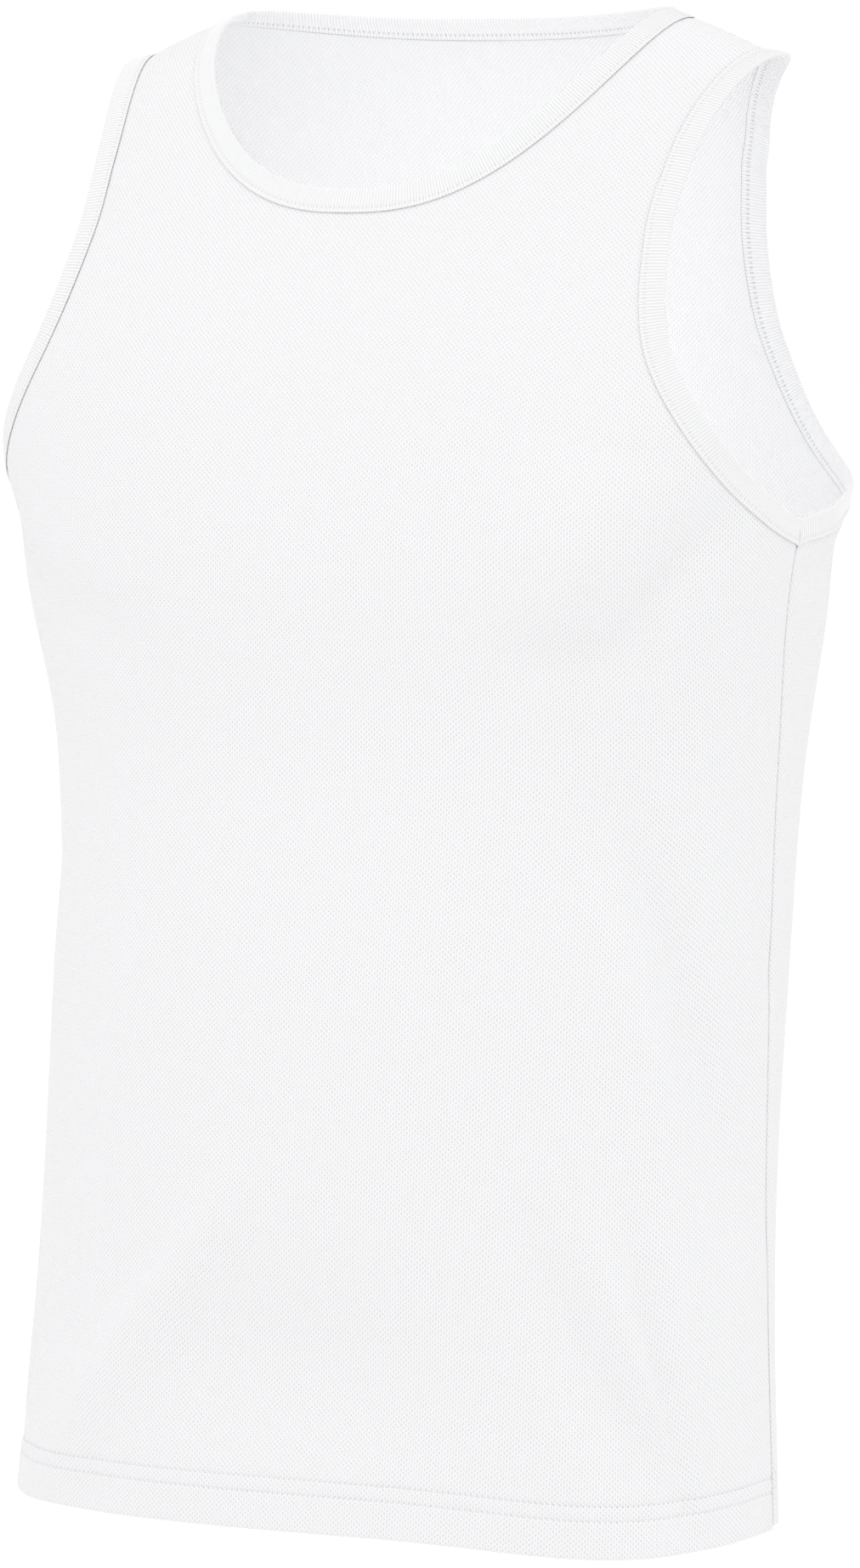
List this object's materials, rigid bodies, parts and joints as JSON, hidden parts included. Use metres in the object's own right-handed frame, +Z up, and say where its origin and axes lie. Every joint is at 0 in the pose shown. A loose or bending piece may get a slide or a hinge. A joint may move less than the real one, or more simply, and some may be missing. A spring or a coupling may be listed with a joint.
{
  "type": "running singlet",
  "caption": "Sleeveless knit running top, filled out and hollow, with a scooped neck, cut-in armholes bound in rib, and a straight turned-up hem.",
  "frame": {"origin": "midway between the two straps, level with the middle of each strap where it crosses the wearer's shoulder", "axes": "+X towards the wearer's left, -Y towards the front, +Z up"},
  "size_m": [0.4268, 0.2716, 0.7303],
  "materials": {
    "body_knit": "matt bird-eye mesh knit",
    "binding_rib": "matt fine rib knit"
  },
  "bodies": {
    "root": {"front_panel": "body_knit", "back_panel": "body_knit", "neck_binding": "binding_rib", "armhole_binding_left": "binding_rib", "armhole_binding_right": "binding_rib"}
  },
  "joints": []
}
